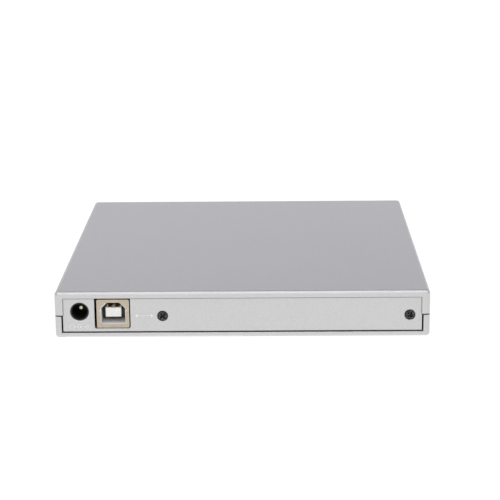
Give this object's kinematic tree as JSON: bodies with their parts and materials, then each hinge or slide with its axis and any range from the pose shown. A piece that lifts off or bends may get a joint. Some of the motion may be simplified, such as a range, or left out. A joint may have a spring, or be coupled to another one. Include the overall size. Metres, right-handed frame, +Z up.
{
  "type": "external optical drive",
  "caption": "Slim external optical drive: flat rounded case, front-opening disc tray on telescopic rails, and data and power sockets on the rear panel.",
  "frame": {"origin": "centre of the footprint, on the plane that the feet stand on", "axes": "+Z up, +Y towards the rear panel with the sockets, -Y the way the tray opens, +X towards the socket end of the rear panel"},
  "size_m": [0.138, 0.148, 0.0185],
  "materials": {
    "silver_case": "fine silver paint on moulded plastic, satin",
    "black_screw": "black oxide",
    "steel": "bright zinc",
    "case_steel": "plain rolled sheet",
    "socket_nickel": "nickel plate",
    "gold": "gold flash",
    "white_plastic": "matt",
    "black_plastic": "matt, fine texture",
    "grey_plastic": "matt",
    "rubber": "matt",
    "green_board": "solder resist, satin",
    "chip_black": "matt",
    "capacitor_can": "satin",
    "ceramic": "matt",
    "flex_amber": "glossy polyimide",
    "copper": "enamelled winding",
    "magnet": "sintered, matt",
    "light_pipe": "translucent, gloss",
    "lens_glass": "coated, clear",
    "spring_wire": "bright wire"
  },
  "bodies": {
    "enclosure": {"top_cover": "silver_case", "bottom_cover": "silver_case", "rubber_feet": "rubber", "rear_screws": "black_screw", "drive_screws": "steel", "bridge_board": "green_board", "board_screws": "steel", "usb_socket_shell": "socket_nickel", "usb_socket_insulator": "white_plastic", "usb_socket_contacts": "gold", "dc_jack_body": "black_plastic", "dc_jack_pin": "socket_nickel", "dc_jack_contact": "gold", "bridge_chip": "chip_black", "bridge_crystal": "capacitor_can", "bridge_capacitors": "capacitor_can", "bridge_small_parts": "ceramic", "bridge_socket": "black_plastic", "drive_chassis": "case_steel", "lock_pin": "steel", "drive_lid": "case_steel", "main_board": "green_board", "drive_plug": "black_plastic", "left_rail_guide": "grey_plastic", "right_rail_guide": "grey_plastic", "flex_cable": "flex_amber"},
    "left_rail": {"left_rail": "steel"},
    "right_rail": {"right_rail": "steel"},
    "tray": {"tray": "black_plastic", "tray_bezel": "silver_case", "led_lens": "light_pipe", "eject_switch": "chip_black", "front_board": "green_board", "tray_shield": "case_steel", "tray_screws": "black_screw", "tray_board": "green_board", "tray_board_chips": "chip_black", "flex_header": "white_plastic", "eject_spring": "spring_wire", "latch_solenoid": "grey_plastic", "traverse_frame": "steel", "guide_rods": "steel", "damper_grommets": "rubber", "traverse_cover": "case_steel", "spindle_stator": "copper", "sled_motor": "steel"},
    "eject_button": {"eject_button": "silver_case"},
    "latch": {"latch_lever": "white_plastic"},
    "spindle": {"spindle_rotor": "black_plastic", "rotor_magnet": "magnet", "turntable_pad": "rubber", "disc_hub": "black_plastic"},
    "ball_a": {"chuck_ball_a": "steel"},
    "ball_b": {"chuck_ball_b": "steel"},
    "ball_c": {"chuck_ball_c": "steel"},
    "lead_screw": {"lead_screw": "steel"},
    "sled": {"pickup_sled": "capacitor_can", "pickup_magnets": "magnet"},
    "lens": {"lens_holder": "black_plastic", "objective_lens": "lens_glass"}
  },
  "joints": [
    {"name": "tray_slide", "type": "slide", "parent": "enclosure", "child": "tray", "axis": [0, -1, 0], "range_m": [0, 0.128], "deforming": ["flex_cable", "eject_spring"]},
    {"name": "left_rail_slide", "type": "slide", "parent": "enclosure", "child": "left_rail", "axis": [0, -1, 0], "range_m": [0, 0.064]},
    {"name": "right_rail_slide", "type": "slide", "parent": "enclosure", "child": "right_rail", "axis": [0, -1, 0], "range_m": [0, 0.064]},
    {"name": "eject_button_press", "type": "slide", "parent": "tray", "child": "eject_button", "axis": [0, 1, 0], "range_m": [0, 0.0005], "stiffness_N_per_m": 1500, "springref_m": -0.0002},
    {"name": "latch_pivot", "type": "hinge", "parent": "tray", "child": "latch", "pos_m": [0.046, -0.04, 0.0065], "axis": [0, 0, -1], "range_deg": [0, 14], "stiffness_Nm_per_rad": 0.01, "springref_deg": -11.46},
    {"name": "spindle_spin", "type": "hinge", "parent": "tray", "child": "spindle", "pos_m": [0, -0.008, 0.01], "axis": [0, 0, 1], "continuous": true},
    {"name": "ball_a_press", "type": "slide", "parent": "spindle", "child": "ball_a", "axis": [0.7071, 0.7071, 0], "range_m": [0, 0.0007], "stiffness_N_per_m": 1200, "springref_m": -0.0004},
    {"name": "ball_b_press", "type": "slide", "parent": "spindle", "child": "ball_b", "axis": [-0.9659, 0.2588, 0], "range_m": [0, 0.0007], "stiffness_N_per_m": 1200, "springref_m": -0.0004},
    {"name": "ball_c_press", "type": "slide", "parent": "spindle", "child": "ball_c", "axis": [0.2588, -0.9659, 0], "range_m": [0, 0.0007], "stiffness_N_per_m": 1200, "springref_m": -0.0004},
    {"name": "sled_travel", "type": "slide", "parent": "tray", "child": "sled", "axis": [-0.7071, -0.7071, 0], "range_m": [0, 0.034]},
    {"name": "lead_screw_turn", "type": "hinge", "parent": "tray", "child": "lead_screw", "pos_m": [-0.00764, -0.04279, 0.0082], "axis": [-0.7071, -0.7071, 0], "range_deg": [-1, 4085]},
    {"name": "lens_focus", "type": "slide", "parent": "sled", "child": "lens", "axis": [0, 0, 1], "range_m": [-0.0004, 0.0004], "stiffness_N_per_m": 60}
  ],
  "couplings": [
    {"joint": "left_rail_slide", "follows": "tray_slide", "ratio": 0.5},
    {"joint": "right_rail_slide", "follows": "tray_slide", "ratio": 0.5},
    {"joint": "lead_screw_turn", "follows": "sled_travel", "rad_per_m": 2094.4}
  ]
}
